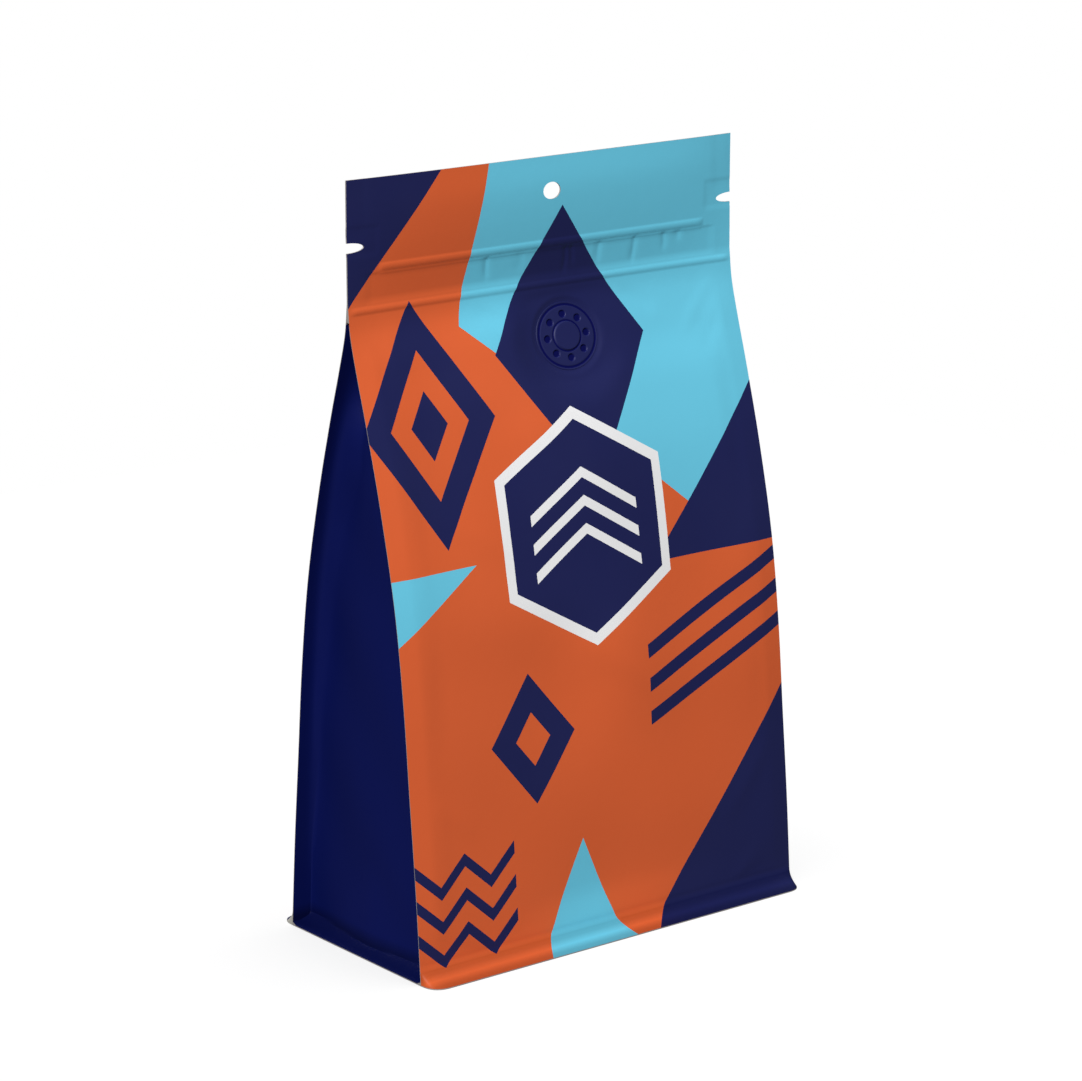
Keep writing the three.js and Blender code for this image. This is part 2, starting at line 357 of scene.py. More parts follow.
# %% [markdown]
# ## The gussets
# A gusset runs in along the fin, turns over a shoulder to a crease, and crosses the side a little hollow.
# Higher up the creases meet and the gusset folds deep into the pouch. At its foot it turns out into the
# base seal. Drawn from above, that is one line at each height, so a gusset is a stack of such lines.

# %% Gusset outlines
FIN_ROOT, GUSSET_INSET, SHOULDER, BULGE, FOLD_DEPTH = 5, 7.5, 6.3, 0.8, 20
FOLD_STARTS, CREASES_MEET, FOLD_CLOSES = 165, 181, 204
SHOULDER_FULL, CREASE_FADE = 150, 45  # heights over which the shoulder grows and the creases come together
GUSSET_STEPS = [3, 6, 5, 3]  # how many points each stretch of the half line has
FOOT_HEIGHT, FOOT_DEPTH = 30, 2.0  # a triangle at the foot, where the film stands out
WAVE_DEPTH, WAVE_TOP = 0.25, 180
WELD_RISE, WELD_TOP = 2.7, 3.5  # how high the base seal's slope rises, and where it stops holding the film
HEADER_JOIN, JOIN_FADE = 203.5, 2.5
EDGE_BULGE = 0.06  # how far the straight line bows out in its middle


def gusset_outline(z):
    """For each height, the corners of half the gusset's line as insets from the film edge and depths."""
    edge = through(SIDE_PROFILE, z)
    fin = np.maximum(0.2 * edge, edge - FILM)
    shoulder = SHOULDER * ease(z / SHOULDER_FULL)
    crease = np.maximum(0.3 * fin, (fin - shoulder) * ease((CREASES_MEET - z) / CREASE_FADE))
    folding = ease((z - FOLD_STARTS) / (FOLD_CLOSES - FOLD_STARTS))
    inset = GUSSET_INSET + (FOLD_DEPTH - GUSSET_INSET) * folding
    middle = inset - BULGE * np.clip(crease / 20, 0, 1)
    flat = np.ones_like(z)
    insets = np.stack([0 * flat, FIN_ROOT * flat, inset, middle, middle])
    depths = np.stack([fin, fin, crease, 0.3 * crease, 0 * flat])
    return insets, depths


def whole_line(corners, mirror):
    """Even steps between half a line's corners, then the same back again times mirror, rounded twice by
    averaging each point with its neighbours."""
    half = [corners[0][:, None]]
    for i, steps in enumerate(GUSSET_STEPS):
        t = np.arange(1, steps + 1) / steps
        half.append(corners[i][:, None] * (1 - t) + corners[i + 1][:, None] * t)
    half = np.hstack(half)
    line = np.hstack([half, mirror * half[:, -2::-1]])
    for _ in range(2):
        line[:, 1:-1] = (line[:, :-2] + 2 * line[:, 1:-1] + line[:, 2:]) / 4
    return line


def gusset_path(z):
    """The whole line, front to back, for each height: held back where the base seal's slope rises, and drawn
    straight in the base seal's edge and in the header. Returns insets and depths, one row a height."""
    insets, depths = gusset_outline(z)
    inset, depth = whole_line(insets, 1), whole_line(depths, -1)
    rise = z[:, None]
    tent = FOOT_HEIGHT * (1 - np.abs(depth) / FOOT_HEIGHT)
    foot_fold = FOOT_DEPTH * np.clip((tent - rise) / FOOT_HEIGHT, 0, 1)
    inset = inset - foot_fold * ease((inset - FIN_ROOT) / 2)
    wave = WAVE_DEPTH * np.sin(rise / 9 + depth / 7)
    inset = inset + wave * ease((inset - FIN_ROOT) / 2) * ease((WAVE_TOP - rise) / 30)
    slope = GUSSET_INSET * np.clip((rise - LIP_EDGE) / WELD_RISE, 0, 1) ** (2 / 3)
    inset = np.minimum(inset, slope + 30 * ease(rise - WELD_TOP))
    count = inset.shape[1]
    even = 1 - 2 * np.arange(1, count + 1) / (count + 1)
    edge = through(SIDE_PROFILE, z)[:, None]
    straight = np.maximum(1 - ease(rise - LIP_EDGE), ease((rise - HEADER_JOIN) / JOIN_FADE))
    bulge = -EDGE_BULGE * (1 - even**2)
    return inset + (bulge - inset) * straight, depth + (edge * even - depth) * straight


GUSSET_POINTS = 2 * sum(GUSSET_STEPS) + 1
print(GUSSET_POINTS, "points along a gusset's line")

# %% [markdown]
# ## The grid
# The whole pouch is one grid: rings round it at many heights. Each ring runs along the front, in along the
# right gusset, back along the back and in along the left gusset. Rings and columns lie closer together at
# the lip, the valve, the ribs, the hang hole and the notches, where the form turns quickly.

# %% Columns and heights
HOLE_STEP = 0.55
HOLE_BLOCK, HOLE_OPEN = 11, 4  # steps from the hole's middle to the outer and the inner square of the grid


def spaced(start, end, step):
    """Even places from start up to end, close to one step apart, without the end itself."""
    return np.linspace(start, end, max(1, round((end - start) / step)), endpoint=False)


fine = HOLE_X + HOLE_STEP * np.arange(-19, 34)
panel_edge = WIDTH / 2 - SEAL
corner = panel_edge + SEAL * np.sin(np.radians(np.linspace(0, 90, 11)))
# even steps, and columns at the crimps beyond the fine ones, where the one at -10 does without
crimp_columns = np.ravel([[place - 0.7, place, place + 0.7] for place in CRIMPS if place > fine[-1]])
right_side = np.sort(np.concatenate([np.arange(fine[-1] + 1.4, 64, 1.4), crimp_columns]))
right_side = right_side[np.r_[True, np.diff(right_side) > 0.4]]
left_side = np.sort(np.concatenate([np.arange(-64, fine[0] - 0.7, 1.4), [-24.2, -23.5, -22.8]]))
left_side = left_side[np.r_[True, np.diff(left_side) > 0.4]]
seal_steps = np.array([65.0, 65.6, 66.3, 67.6, 69.0])
COLUMNS = np.concatenate([
    -corner[::-1], -seal_steps[::-1], left_side, fine, right_side, seal_steps, corner,
])
notch_rows = NOTCH_Z - NOTCH_HALF * np.cos(np.radians(np.linspace(0, 180, 13)))
hole_rows = HOLE_Z + HOLE_STEP * np.arange(-HOLE_BLOCK, HOLE_BLOCK + 1)
LEVELS = np.concatenate([
    [LIP_LOW, LIP_EDGE, 0.7, 1.0, 1.35, 1.7, 2.1, 2.6, 3.2, 3.9, 4.7, 5.5, 6.2, 6.8, 7.4, 8.1, 9],
    spaced(10, 178, 2.9), spaced(178, 207, 0.55), spaced(207, 211, 0.35), spaced(211, 219.4, 1.1),
    spaced(219.4, 224, 0.3), spaced(224, notch_rows[0], 0.8), notch_rows, hole_rows,
    spaced(hole_rows[-1] + 0.8, HEIGHT, 1.1), [HEIGHT],
])
assert np.all(np.diff(COLUMNS) > 0) and np.all(np.diff(LEVELS) > 0)
print(len(COLUMNS), "columns and", len(LEVELS), "heights")

# %% [markdown]
# ## Rings of points
# The front and back rows are the panels' depths at every column and height at once. Two things bend the
# grid itself: a tear notch presses the outer columns in, and round the hang hole a square block of the grid
# is pushed into rings, from the hole's edge inside to the square outside.


# %% Bend the grid
NOTCH_SPAN = 10  # how much of the width beside a notch makes room for it


def notched(x, z):
    """The outer NOTCH_SPAN of the columns moved in by the notch, whose edge is half an ellipse."""
    bite = NOTCH_DEPTH * np.sqrt(np.clip(1 - ((z - NOTCH_Z) / NOTCH_HALF) ** 2, 0, 1))
    start = WIDTH / 2 - NOTCH_SPAN
    side = np.abs(x)
    moved = start + (side - start) * (NOTCH_SPAN - bite) / NOTCH_SPAN
    return np.sign(x) * np.where(side > start, moved, side)


def round_hole(x, z):
    """A point keeps its direction from the hole's middle. On the inner square its distance becomes that of
    the hole's ellipse, on the outer square it stays, and in between it is shared out."""
    dx, dz = x - HOLE_X, z - HOLE_Z
    square = np.maximum(np.abs(dx), np.abs(dz))
    inner, outer = HOLE_OPEN * HOLE_STEP, HOLE_BLOCK * HOLE_STEP
    away = np.maximum(np.hypot(dx, dz), 1e-6)
    t = np.clip((square - inner) / (outer - inner), 0, 1)
    ellipse = away / np.maximum(np.hypot(dx / HOLE_WIDE, dz / HOLE_HIGH), 1e-6)
    wanted = (ellipse + (square - inner)) / away
    scale = np.where(square < outer, wanted * (1 - t) + t, 1)
    return HOLE_X + dx * scale, HOLE_Z + dz * scale


columns_grid, levels_grid = np.meshgrid(COLUMNS, LEVELS)
panel_x = notched(columns_grid, levels_grid)
panel_x, panel_z = round_hole(panel_x, levels_grid)
front_y = bow(panel_x, panel_z) - front_depth(panel_x, panel_z)
back_y = bow(panel_x, panel_z) + back_depth(panel_x, panel_z)

inset, depth = gusset_path(LEVELS)
gusset_z = np.repeat(LEVELS[:, None], GUSSET_POINTS, axis=1)
film_edge = notched(np.full_like(inset, WIDTH / 2), gusset_z)
right_x = film_edge - inset
right_y = bow(right_x, gusset_z) - depth
left_y = bow(-right_x, gusset_z) - depth
assert np.all(back_y - front_y > 1.9 * HALF_HEADER), "the front film crosses the back film"
print("front reaches", round(float(front_y.min()), 2), "mm, back", round(float(back_y.max()), 2), "mm")

# %% The base film
def base_film(row):
    """The underside, on a grid between the first ring's front and back rows: straight lines across from
    front to back. A strip along its edge stands LIP_LOW off the floor, and the filling presses the rest
    down to it."""
    t = (np.arange(1, GUSSET_POINTS + 1) / (GUSSET_POINTS + 1))[:, None]
    x = np.repeat(row[None, :, 0], GUSSET_POINTS, axis=0)
    reach = row[None, :, 1]
    y = reach * (1 - 2 * t)
    from_edge = np.minimum(WIDTH / 2 - np.abs(x), np.abs(reach) - np.abs(y))
    z = LIP_LOW * (1 - ease((from_edge - SEAL + 1) / 2.5))
    return x, y, z


# %% [markdown]
# ## One closed mesh
# Rings are joined to their neighbours by four-sided faces. The top is closed by a strip between the front
# and back films, the bottom by the base film's own grid, and the hole by a wall between its two edges.
# Each face gets the number of the film it belongs to: front, back, gusset, cut edge or base.

# %% Number the points
FRONT, BACK, GUSSET, CUT, BASE = range(5)
n_columns, n_levels, n_gusset = len(COLUMNS), len(LEVELS), GUSSET_POINTS
ring = 2 * (n_columns + n_gusset)

rings = np.zeros((n_levels, ring, 3))
front_part = slice(0, n_columns)
right_part = slice(n_columns, n_columns + n_gusset)
back_part = slice(n_columns + n_gusset, 2 * n_columns + n_gusset)
left_part = slice(2 * n_columns + n_gusset, ring)
rings[:, front_part] = np.dstack([panel_x, front_y, panel_z])
rings[:, right_part] = np.dstack([right_x, right_y, gusset_z])
rings[:, back_part] = np.dstack([panel_x, back_y, panel_z])[:, ::-1]
rings[:, left_part] = np.dstack([-right_x, left_y, gusset_z])[:, ::-1]

base_x, base_y, base_z = base_film(rings[0, front_part])
points = np.concatenate([rings.reshape(-1, 3), np.dstack([base_x, base_y, base_z]).reshape(-1, 3)])
base_start = n_levels * ring


def front_point(column, level):
    """The number of the front's point in a column of a ring."""
    return level * ring + column


def back_point(column, level):
    """The same for the back, whose row runs the other way."""
    return level * ring + 2 * n_columns + n_gusset - 1 - column


print(len(points), "points")

# %% Join the faces
SIDES_SHUT = 205  # above this height the pouch's side is the cut edge of the header
TIP_HIGH, TIP_COLUMNS = 4.5, 3  # the tips of the back's lip: how high and how many columns wide


def ring_faces(count, size):
    """The four-sided faces between rings that all have the same size: here, beside, and both one ring on."""
    around, upward = np.meshgrid(np.arange(size), np.arange(count - 1))
    here, beside = upward * size + around, upward * size + (around + 1) % size
    return np.dstack([here, beside, beside + size, here + size])


wall = ring_faces(n_levels, ring)
kind = np.full(ring, GUSSET)
kind[: n_columns - 1] = FRONT
kind[n_columns + n_gusset : 2 * n_columns + n_gusset - 1] = BACK
kind[[n_columns - 1, n_columns + n_gusset - 1, 2 * n_columns + n_gusset - 1, ring - 1]] = CUT
wall_kind = np.repeat(kind[None, :], n_levels - 1, axis=0)
side_faces = (wall_kind == GUSSET) & ((LEVELS[:-1] > SIDES_SHUT)[:, None])
wall_kind[side_faces] = CUT
wall_kind[0] = CUT

# the tips of the back's lip turn the film's plain inner side out
tip = np.arange(TIP_COLUMNS)
tips = np.r_[tip, n_columns - 2 - tip] + n_columns + n_gusset
wall_kind[np.ix_(np.flatnonzero(LEVELS[:-1] < TIP_HIGH), tips)] = BASE

# the inner square of the grid round the hang hole is left open, on the front and on the back
hole_column = int(np.argmin(np.abs(COLUMNS - HOLE_X)))
hole_level = int(np.argmin(np.abs(LEVELS - HOLE_Z)))
first, last = hole_column - HOLE_OPEN, hole_column + HOLE_OPEN
low, high = hole_level - HOLE_OPEN, hole_level + HOLE_OPEN
hole_columns, hole_levels = np.arange(first, last), np.arange(low, high)
open_faces = np.zeros_like(wall_kind, bool)
open_faces[np.ix_(hole_levels, hole_columns)] = True
open_faces[np.ix_(hole_levels, 2 * n_columns + n_gusset - 2 - hole_columns)] = True

# the wall of the hole: once round the open square, joined from the front's edge to the back's
steps = np.arange(2 * HOLE_OPEN)
still = np.zeros_like(steps)
loop_columns = np.concatenate([first + steps, last + still, last - steps, first + still])
loop_levels = np.concatenate([low + still, low + steps, high + still, high - steps])
next_columns, next_levels = np.roll(loop_columns, -1), np.roll(loop_levels, -1)
hole_wall = np.stack([
    front_point(next_columns, next_levels), front_point(loop_columns, loop_levels),
    back_point(loop_columns, loop_levels), back_point(next_columns, next_levels),
], axis=1)

# the base: rows 0 and n_gusset + 1 are the first ring's front and back, its ends the gussets' points
base_grid = np.zeros((n_gusset + 2, n_columns), int)
base_grid[0] = front_point(np.arange(n_columns), 0)
base_grid[-1] = back_point(np.arange(n_columns), 0)
base_grid[1:-1] = base_start + np.arange(n_gusset * n_columns).reshape(n_gusset, n_columns)
base_grid[1:-1, -1] = n_columns + np.arange(n_gusset)
base_grid[1:-1, 0] = ring - 1 - np.arange(n_gusset)
base_faces = np.dstack([
    base_grid[:-1, :-1], base_grid[1:, :-1], base_grid[1:, 1:], base_grid[:-1, 1:],
]).reshape(-1, 4)

# the top: a strip of four-sided faces, with a face of many sides at each end
top = n_levels - 1
inside = np.arange(1, n_columns - 2)
top_faces = np.stack([
    front_point(inside, top), front_point(inside + 1, top),
    back_point(inside + 1, top), back_point(inside, top),
], axis=1)
right_end = top * ring + np.arange(n_columns - 2, n_columns + n_gusset + 2)
left_end = top * ring + np.r_[np.arange(ring - n_gusset - 2, ring), 0, 1]

quads = np.concatenate([wall[~open_faces], hole_wall, base_faces, top_faces])
kinds = np.concatenate([
    wall_kind[~open_faces], np.full(len(hole_wall), CUT), np.full(len(base_faces), BASE),
    np.full(len(top_faces), CUT), [CUT, CUT],
])
print(len(quads), "four-sided faces")

# %% [markdown]
# ## Film coordinates
# The print follows the film, not the room: at the flared lip the film turns outwards, and the print goes
# with it. So each point also gets its place on the film: how far across, and how high along the film. Above
# 9 mm that is the height; below it the distance along the film is taken off. A third number, always 1, lets
# a material work out the distance from any straight line with one dot product.


# %% Place on the film
STRAIGHT_ABOVE = 9  # above this height the film place is the height itself


def film_height(part):
    """The height z, and below STRAIGHT_ABOVE that height less the length along the film down from there,
    column by column."""
    step = np.linalg.norm(np.diff(part, axis=0), axis=2)
    start = int(np.argmin(np.abs(LEVELS - STRAIGHT_ABOVE)))
    height = part[:, :, 2].copy()
    below = np.cumsum(step[:start][::-1], axis=0)[::-1]
    height[:start] = height[start] - below
    return height


film = np.dstack([rings[:, :, 0], rings[:, :, 2], np.ones((n_levels, ring))])
for part in (front_part, back_part):
    film[:, part, 1] = film_height(rings[:, part])
base_place = np.dstack([base_x, base_y, np.ones_like(base_x)]).reshape(-1, 3)
film_place = np.concatenate([film.reshape(-1, 3), base_place])
print("the lip's lower edge is at", round(float(film[0, n_columns // 2, 1]), 1), "mm along the film")


# %% Build the mesh
def build(name, places, faces, face_kinds, film_places=None, sharp=35):
    """Makes an object from points in millimetres. Points that no face uses are left out, and edges that
    turn more than the sharp angle keep their crease."""
    used = np.zeros(len(places), bool)
    for group in faces:
        used[np.ravel(group)] = True
    number = np.cumsum(used) - 1
    face_list = [list(face) for group in faces for face in number[np.asarray(group)].tolist()]
    mesh = bpy.data.meshes.new(name)
    mesh.from_pydata((places[used] * MM).tolist(), [], face_list)
    mesh.polygons.foreach_set("material_index", np.asarray(face_kinds, np.int32))
    mesh.shade_smooth()
    mesh.set_sharp_from_angle(angle=np.radians(sharp))
    if film_places is not None:
        layer = mesh.attributes.new("film_mm", "FLOAT_VECTOR", "POINT")
        layer.data.foreach_set("vector", film_places[used].astype(np.float32).ravel())
    assert not mesh.validate(verbose=False), name
    piece = put(name, mesh)
    print(name, len(mesh.vertices), "points,", sum(len(p.vertices) - 2 for p in mesh.polygons), "triangles")
    return piece


pouch = build("pouch_film", points, [quads, [right_end], [left_end]], kinds, film_place)

# %% [markdown]
# ## The valve
# The valve is a small moulded disc, sealed under the film, with a raised eye and a ring of vents. Turned
# round an axis it is a grid of rings again. The vents are small dips that the same grid carries, so the
# rings lie close together.


# %% The valve's disc
EYE_RADIUS, EYE_SLOPE, EYE_RISE = 5.0, 0.5, 0.3
VENT_COUNT, FIRST_VENT, VENT_RING = 8, np.radians(92), 7.4
VENT_RADIUS, VENT_SLOPE, VENT_DEPTH = 1.4, 0.35, 0.45
GROOVES, GROOVE_DEPTH = [(5.2, 0.35), (10.5, 0.6)], 0.14  # each a radius and a half width
DISC_THICKNESS, RIM_BEVEL, BACK_SLOPE = 0.6, 0.1, 2
PIN = 0.02  # radius of the innermost ring, which one face closes
DEEP = 0.05  # a point this far down counts as inside a groove or a vent


def valve_disc():
    """Rings from the eye's middle out over the face, round the thin rim and in under the back, which slopes
    down to its full thickness. The face's height is the eye's step, less the grooves, less the vents' dips,
    each an easing of the distance from the nearest vent. The last result says which points lie deep."""
    turns = np.radians(np.arange(0, 360, 1.5))
    face_rings = np.r_[PIN, spaced(0.5, 4.4, 0.4), spaced(4.4, 9.4, 0.18), spaced(9.4, 11.2, 0.15)]
    back_rings = [VALVE_RADIUS - RIM_BEVEL, VALVE_RADIUS, VALVE_RADIUS - BACK_SLOPE, 6, PIN]
    back_heights = [0, -RIM_BEVEL, -DISC_THICKNESS, -DISC_THICKNESS, -DISC_THICKNESS]
    rim = np.r_[np.zeros(len(face_rings)), back_heights][:, None]
    r, turn = np.meshgrid(np.r_[face_rings, back_rings], turns, indexing="ij")
    eye = EYE_RISE * ease((EYE_RADIUS - r) / EYE_SLOPE)
    pitch = np.radians(360 / VENT_COUNT)
    from_vent = (turn - FIRST_VENT + pitch / 2) % pitch - pitch / 2
    away = np.hypot(r * np.cos(from_vent) - VENT_RING, r * np.sin(from_vent))
    vents = VENT_DEPTH * ease((VENT_RADIUS - away) / VENT_SLOPE)
    grooves = GROOVE_DEPTH * sum(rounded((r - middle) / half) for middle, half in GROOVES)
    on_face = rim == 0
    height = rim + (eye - vents - grooves) * on_face - VALVE_SUNK
    return r * np.cos(turn), r * np.sin(turn), height, on_face & (vents + grooves > DEEP)


across, along, height, deep = valve_disc()
across, along = VALVE_WIDER * across, VALVE_LOWER * along
lean = np.hypot(1, VALVE_SLOPE)
valve_x = VALVE_X + across
valve_z = VALVE_Z + along / lean + height * VALVE_SLOPE / lean
valve_y = -(valve_plane(VALVE_Z) - along / lean * VALVE_SLOPE + height / lean)
valve_y = valve_y + bow(VALVE_X, VALVE_Z + along / lean)
n_rings, n_turns = valve_x.shape
valve_points = np.dstack([valve_x, valve_y, valve_z]).reshape(-1, 3)
valve_quads = ring_faces(n_rings, n_turns)[:, :, [0, 3, 2, 1]].reshape(-1, 4)  # turned to face outwards
# painted shade: the faces whose corners all lie deep in a vent or groove get the darker ink
painted_vent_shade_faces = deep[:-1] & deep[1:]
painted_vent_shade_faces = painted_vent_shade_faces & np.roll(painted_vent_shade_faces, -1, axis=1)
middle_face = [np.arange(n_turns)]
back_face = [(n_rings - 1) * n_turns + np.arange(n_turns)[::-1]]
valve = build("valve_disc", valve_points, [valve_quads, middle_face, back_face],
              np.r_[painted_vent_shade_faces.ravel().astype(int), 0, 0], sharp=30)

# %% [markdown]
# ## The inks
# The laminate is a matt polypropylene film printed on its inner side: the ink lies under a clear, slightly
# hazy skin, so the colours are even and the highlights wide and soft. The colours are the ones the eye
# sees, and one function turns them into the linear light that a shader works with.


# %% Colours and a helper for nodes
def ink(code):
    """An sRGB hex colour as linear light: each part over 12.92 when small, and else (c + 0.055) / 1.055 to
    the power 2.4."""
    parts = np.array([int(code[i : i + 2], 16) for i in (1, 3, 5)]) / 255
    linear = np.where(parts <= 0.04045, parts / 12.92, ((parts + 0.055) / 1.055) ** 2.4)
    return (*linear, 1)


def add(tree, kind, inputs=(), output=0, **settings):
    """Adds a node, sets its settings, and gives each input a value or a link. Returns one of its outputs."""
    node = tree.nodes.new(kind)
    for name, value in settings.items():
        setattr(node, name, value)
    for place, value in dict(inputs).items():
        if isinstance(value, bpy.types.NodeSocket):
            tree.links.new(value, node.inputs[place])
        else:
            node.inputs[place].default_value = value
    return node.outputs[output] if len(node.outputs) else node


ORANGE, NAVY, SKY, WHITE = ink("#d75f31"), ink("#181d50"), ink("#67c4df"), ink("#ededee")
GUSSET_NAVY = ink("#07104b")
print("orange in linear light:", [round(float(part), 3) for part in ORANGE[:3]])

# %% [markdown]
# ## The print
# A picture could be wrapped round the pouch, but flat shapes with crisp edges can be worked out exactly. A
# straight edge is a line, and the dot product of the film place with its three numbers is the distance from
# it. A convex shape is where the largest of its distances is below nought. Several shapes in one ink are
# joined by taking the smallest, and inks are laid over each other in order, as a press does.


# %% Shapes in a material
def calculate(tree, operation, *values):
    """One sum, with values or links."""
    return add(tree, "ShaderNodeMath", dict(enumerate(values)), operation=operation)


def dot(tree, place, numbers):
    """The dot product of a place with three numbers: the node's output 1."""
    return add(tree, "ShaderNodeVectorMath", {0: place, 1: numbers}, 1, operation="DOT_PRODUCT")


def graded(tree, value, low, high, start, end):
    """Start up to the value low, end from high on, and even steps between them."""
    return add(tree, "ShaderNodeMapRange",
               {"Value": value, "From Min": low, "From Max": high, "To Min": start, "To Max": end}, "Result")


def dimmed(tree, colour, factor):
    return add(tree, "ShaderNodeVectorMath", {0: colour, "Scale": factor}, operation="SCALE")


def shape(tree, place, corners):
    """The distance outside a convex shape: the largest of the distances from its edges' lines."""
    corners = np.array(corners, float)
    following = np.roll(corners, -1, axis=0)
    area = np.sum(corners[:, 0] * following[:, 1] - following[:, 0] * corners[:, 1])
    edge = (following - corners) * np.sign(area)
    normal = np.stack([edge[:, 1], -edge[:, 0]], axis=1) / np.hypot(*edge.T)[:, None]
    distance = None
    for (nx, nz), corner in zip(normal, corners):
        from_line = dot(tree, place, (nx, nz, -(nx * corner[0] + nz * corner[1])))
        distance = from_line if distance is None else calculate(tree, "MAXIMUM", distance, from_line)
    return distance


def joined(tree, distances):
    """The distance outside several shapes: the smallest of theirs."""
    nearest = distances[0]
    for distance in distances[1:]:
        nearest = calculate(tree, "MINIMUM", nearest, distance)
    return nearest


def lay(tree, under, colour, distance):
    """Lays an ink over the colour under it, where the distance is below nought. For colours the node mixes
    its inputs 6 and 7 into its output 2."""
    cover = calculate(tree, "LESS_THAN", distance, 0.0)
    return add(tree, "ShaderNodeMix", {0: cover, 6: under, 7: colour}, 2, data_type="RGBA")


def diamond(x, z, half_width, half_height):
    return [(x + half_width, z), (x, z + half_height), (x - half_width, z), (x, z - half_height)]


def hexagon(x, z, radius):
    """Six corners at equal turns, with two sides upright."""
    turns = np.radians(30 + 60 * np.arange(6))
    return [(x + radius * np.cos(turn), z + radius * np.sin(turn)) for turn in turns]


def block(half_width, low, high):
    return [(-half_width, low), (half_width, low), (half_width, high), (-half_width, high)]


def bar(x0, z0, x1, z1, width):
    """A slanted stripe between two points, with upright ends."""
    return [(x0, z0 - width / 2), (x1, z1 - width / 2), (x1, z1 + width / 2), (x0, z0 + width / 2)]


print("a hexagon of 35 mm is", round(2 * 35 * np.cos(np.radians(30)), 1), "mm wide")

# %% [markdown]
# ## Front artwork
# The front carries large triangles, diamonds and bars in four inks, with a plain badge in the middle. The
# layers are listed from the ground up. Each is an ink and the shapes printed in it.

# %% The front's layers
BADGE = (0, 133.5)
ZIGZAGS = [
    bar(x, z + (0 if i % 2 else 9), x + 10, z + (9 if i % 2 else 0), 4.2)
    for z in (6, 17, 28) for i, x in enumerate(np.arange(-78, -42, 10))
]
SLANTED_BARS = [bar(20, z, 84, z + 26, 4.6) for z in (68, 79, 90)]
FRONT_LAYERS = [
    (SKY, [[(-18, 270), (90, 270), (90, 150), (52, 128), (-36, 200)]]),
    (NAVY, [[(-90, 270), (-24, 270), (-90, 196)]]),
    (NAVY, [diamond(-54, 172, 25, 38)]),
    (ORANGE, [diamond(-54, 172, 15, 23)]),
    (NAVY, [diamond(-54, 172, 7, 10.7)]),
    (SKY, [[(-90, 128), (-90, 100), (-44, 128)], [(-44, -30), (-10, 34), (16, -30)]]),
    (NAVY, [[(90, 182), (90, 118), (26, 118)], [(90, 84), (90, -30), (-8, -30)]]),
    (NAVY, SLANTED_BARS + ZIGZAGS),
    (NAVY, [diamond(6, 190, 31, 44), diamond(-28, 70, 17, 21)]),
    (ORANGE, [diamond(-28, 70, 7, 8.6)]),
    (WHITE, [hexagon(*BADGE, 38)]),
    (NAVY, [hexagon(*BADGE, 34)]),
    (WHITE, [bar(-21, 120 + 9 * i, 0, 133 + 9 * i, 3.4) for i in range(3)]
     + [bar(0, 133 + 9 * i, 21, 120 + 9 * i, 3.4) for i in range(3)]),
]
BACK_LAYERS = [
    (SKY, [[(-90, 270), (30, 270), (-90, 150)]]),
    (NAVY, [[(90, 90), (90, -30), (-30, -30)], [(-90, 60), (-90, -30), (-30, -30)]]),
    (NAVY, [diamond(-40, 176, 20, 26)]),
    (SKY, [[(70, 96), (90, 96), (90, 140), (70, 118)]]),
    (NAVY, [bar(-90, z, -58, z + 13, 4.6) for z in (92, 103, 114)]),
    (WHITE, [block(50, 38, 140)]),
    (NAVY, [block(47.5, 40.5, 137.5)]),
    (WHITE, [block(46.5, 41.5, 136.5)]),
    (NAVY, [diamond(0, 118, 9, 12)]),
    (ORANGE, [block(46.5, 41.5, 50)]),
]
print(sum(len(shapes) for _, shapes in FRONT_LAYERS), "shapes on the front")

# %% [markdown]
# ## Materials
# Matt laminate reflects little, in a wide lobe, so its specular level is low and its roughness middling.
# Two fine patterns keep it from looking like plastic sheet: slow changes in gloss where the film has been
# rubbed, and a faint orange-peel unevenness, about 4 mm across, that the filling's grains press into it.


# %% The film's skin
RUBBED_MM, GLOSS_RANGE = 30, 0.05  # size of the rubbed places, and how much their roughness differs


def new_material(name):
    """An empty material and its tree of nodes."""
    material = bpy.data.materials.new(name)
    material.use_nodes = True
    tree = material.node_tree
    tree.nodes.clear()
    return material, tree


def finish_skin(tree, colour, roughness, specular, bump_mm=0.03, grain_mm=4.0):
    """The clear matt skin over a colour: rough between two values by a slow noise, and uneven by a finer
    one. Object coordinates are in metres, so a noise scale is 1000 over its size in millimetres."""
    place = add(tree, "ShaderNodeTexCoord", output="Object")
    rubbed = add(tree, "ShaderNodeTexNoise", {"Vector": place, "Scale": 1000 / RUBBED_MM, "Detail": 3}, "Fac")
    gloss = graded(tree, rubbed, 0.3, 0.7, roughness - GLOSS_RANGE, roughness + GLOSS_RANGE)
    grain = add(tree, "ShaderNodeTexNoise", {"Vector": place, "Scale": 1000 / grain_mm, "Detail": 2}, "Fac")
    normal = add(tree, "ShaderNodeBump",
                 {"Strength": 1.0, "Distance": bump_mm * MM, "Height": grain}, "Normal")
    skin = add(tree, "ShaderNodeBsdfPrincipled",
               {"Base Color": colour, "Roughness": gloss, "Specular IOR Level": specular, "Normal": normal},
               "BSDF")
    add(tree, "ShaderNodeOutputMaterial", {"Surface": skin})


# the lip's painted shade and painted highlight: heights along the film in mm, the crest's reach, and how
# light each part is painted
EDGE_LOW, EDGE_HIGH, WELD_LOW, WELD_HIGH, CREST, CREST_REACH = -3, 0, 4.2, 6.2, 0.4, 2.4
EDGE_PAINTED_SHADE, LIP_PAINTED_SHADE, CREST_PAINTED_HIGHLIGHT = 0.84, 0.62, 1.32
WELD_SHINE, FILM_SHINE, FILM_ROUGHNESS = 0.1, 0.45, 0.45
GUSSET_WELD_LOW, GUSSET_WELD_HIGH, GUSSET_FOOT_PAINTED_SHADE = 3, 7, 0.5  # heights in mm, and the painted shade at the foot
